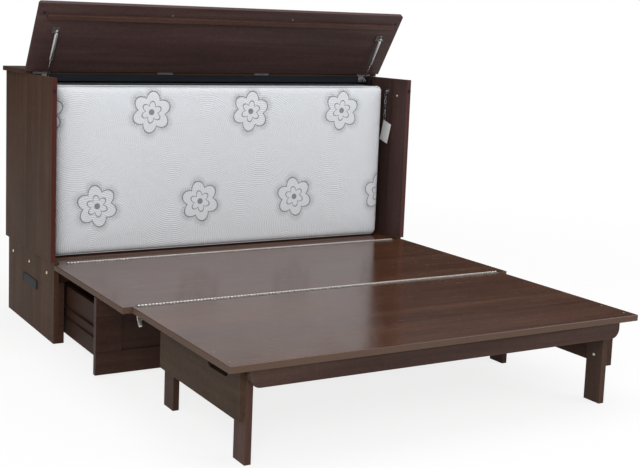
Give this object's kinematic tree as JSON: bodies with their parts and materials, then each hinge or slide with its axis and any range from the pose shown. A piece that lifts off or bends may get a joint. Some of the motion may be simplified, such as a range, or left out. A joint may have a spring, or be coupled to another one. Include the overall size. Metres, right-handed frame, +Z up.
{
  "type": "cabinet bed",
  "caption": "Cabinet bed opened out: chest with hinged lid, drawer, fold-down deck panels on folding legs, and a folded mattress standing in it.",
  "frame": {"origin": "middle of the bounding box at the floor, with the bed opened out", "axes": "+X to the right seen from the foot of the bed, +Y from the foot toward the cabinet's back, +Z up"},
  "size_m": [1.67, 2.016, 1.3067],
  "materials": {
    "espresso_wood": "satin",
    "deck_finish": "gloss",
    "drawer_wood": "satin",
    "nickel_hinge": "satin",
    "zinc_steel": "satin",
    "strut_steel": "satin",
    "pull_metal": "satin",
    "bumper_rubber": "matte",
    "socket_plastic": "gloss",
    "tag_paper": "matte",
    "mattress_knit": "matte"
  },
  "bodies": {
    "cabinet": {"base_side_right": "espresso_wood", "base_side_left": "espresso_wood", "base_posts": "espresso_wood", "runner_battens": "espresso_wood", "base_back": "espresso_wood", "deck_cleats": "espresso_wood", "deck_front_rail": "espresso_wood", "fixed_deck": "deck_finish", "upper_side_right": "espresso_wood", "upper_side_left": "espresso_wood", "back_panel": "espresso_wood", "rear_top": "espresso_wood", "top_rail": "espresso_wood", "side_bolts": "zinc_steel", "front_bumpers": "bumper_rubber", "chain_anchors": "zinc_steel", "socket_panel": "socket_plastic", "strut_brackets": "zinc_steel", "drawer_runners_fixed": "zinc_steel", "lid_hinge_fixed": "nickel_hinge", "deck_hinge_fixed": "nickel_hinge"},
    "lid": {"lid_panel": "espresso_wood", "lid_batten": "espresso_wood", "lid_bumpers": "bumper_rubber", "lid_hinge_moving": "nickel_hinge", "lid_studs": "zinc_steel"},
    "strut_rod_right": {"strut_rod_right": "strut_steel"},
    "strut_rod_left": {"strut_rod_left": "strut_steel"},
    "strut_barrel_right": {"strut_barrel_right": "strut_steel"},
    "strut_barrel_left": {"strut_barrel_left": "strut_steel"},
    "middle_deck": {"middle_panel": "deck_finish", "deck_hinge_moving": "nickel_hinge", "foot_hinge_rear": "nickel_hinge", "pulls": "pull_metal"},
    "foot_deck": {"foot_panel": "deck_finish", "foot_hinge_front": "nickel_hinge", "foot_rail": "espresso_wood", "closing_hooks": "zinc_steel", "leg_hinges_fixed": "nickel_hinge"},
    "leg_frame_right": {"apron_right": "espresso_wood", "leg_front_right": "espresso_wood", "leg_rear_right": "espresso_wood", "leg_hinges_right": "nickel_hinge"},
    "leg_frame_left": {"apron_left": "espresso_wood", "leg_front_left": "espresso_wood", "leg_rear_left": "espresso_wood", "leg_hinges_left": "nickel_hinge"},
    "drawer": {"drawer_front": "espresso_wood", "drawer_side_right": "drawer_wood", "drawer_side_left": "drawer_wood", "drawer_box_ends": "drawer_wood", "drawer_floor": "drawer_wood", "drawer_runners_moving": "zinc_steel"},
    "mattress": {"mattress_front": "mattress_knit", "mattress_middle": "mattress_knit", "mattress_rear": "mattress_knit"},
    "right_chain": {"chain_right": "zinc_steel", "chain_tag": "tag_paper"},
    "left_chain": {"chain_left": "zinc_steel"}
  },
  "joints": [
    {"name": "lid_hinge", "type": "hinge", "parent": "cabinet", "child": "lid", "pos_m": [0, 0.691, 1.0418], "axis": [1, 0, 0], "range_deg": [0, 56.3]},
    {"name": "strut_right_swing", "type": "hinge", "parent": "cabinet", "child": "strut_rod_right", "pos_m": [0.752, 0.669, 1], "axis": [1, 0, 0], "range_deg": [0, 56.34]},
    {"name": "strut_right_slide", "type": "slide", "parent": "strut_rod_right", "child": "strut_barrel_right", "axis": [0, -0.5334, 0.8459], "range_m": [-0.04504, 0]},
    {"name": "strut_left_swing", "type": "hinge", "parent": "cabinet", "child": "strut_rod_left", "pos_m": [-0.752, 0.669, 1], "axis": [1, 0, 0], "range_deg": [0, 56.34]},
    {"name": "strut_left_slide", "type": "slide", "parent": "strut_rod_left", "child": "strut_barrel_left", "axis": [0, -0.5334, 0.8459], "range_m": [-0.04504, 0]},
    {"name": "deck_fold", "type": "hinge", "parent": "cabinet", "child": "middle_deck", "pos_m": [0, 0.39, 0.3148], "axis": [-1, 0, 0], "range_deg": [0, 90]},
    {"name": "foot_fold", "type": "hinge", "parent": "middle_deck", "child": "foot_deck", "pos_m": [0, -0.31, 0.3148], "axis": [-1, 0, 0], "range_deg": [0, 180]},
    {"name": "leg_fold_right", "type": "hinge", "parent": "foot_deck", "child": "leg_frame_right", "pos_m": [0.6657, -0.96, 0.2867], "axis": [0, 1, 0], "range_deg": [0, 90]},
    {"name": "leg_fold_left", "type": "hinge", "parent": "foot_deck", "child": "leg_frame_left", "pos_m": [-0.6657, -0.96, 0.2867], "axis": [0, -1, 0], "range_deg": [0, 90]},
    {"name": "drawer_slide", "type": "slide", "parent": "cabinet", "child": "drawer", "axis": [0, 1, 0], "range_m": [-0.04, 0.436]},
    {"name": "mattress_slide", "type": "slide", "parent": "cabinet", "child": "mattress", "axis": [0, 1, 0], "range_m": [-0.095, 0]},
    {"name": "chain_swing_right", "type": "hinge", "parent": "cabinet", "child": "right_chain", "pos_m": [0.791, 0.543, 0.962], "axis": [1, 0, 0], "range_deg": [-60, 0]},
    {"name": "chain_swing_left", "type": "hinge", "parent": "cabinet", "child": "left_chain", "pos_m": [-0.791, 0.543, 0.962], "axis": [1, 0, 0], "range_deg": [-60, 0]}
  ],
  "couplings": [
    {"joint": "strut_right_swing", "follows": "lid_hinge", "ratio": 0.99175},
    {"joint": "strut_right_slide", "follows": "lid_hinge", "m_per_rad": -0.045329},
    {"joint": "strut_left_swing", "follows": "lid_hinge", "ratio": 0.99175},
    {"joint": "strut_left_slide", "follows": "lid_hinge", "m_per_rad": -0.045329}
  ]
}
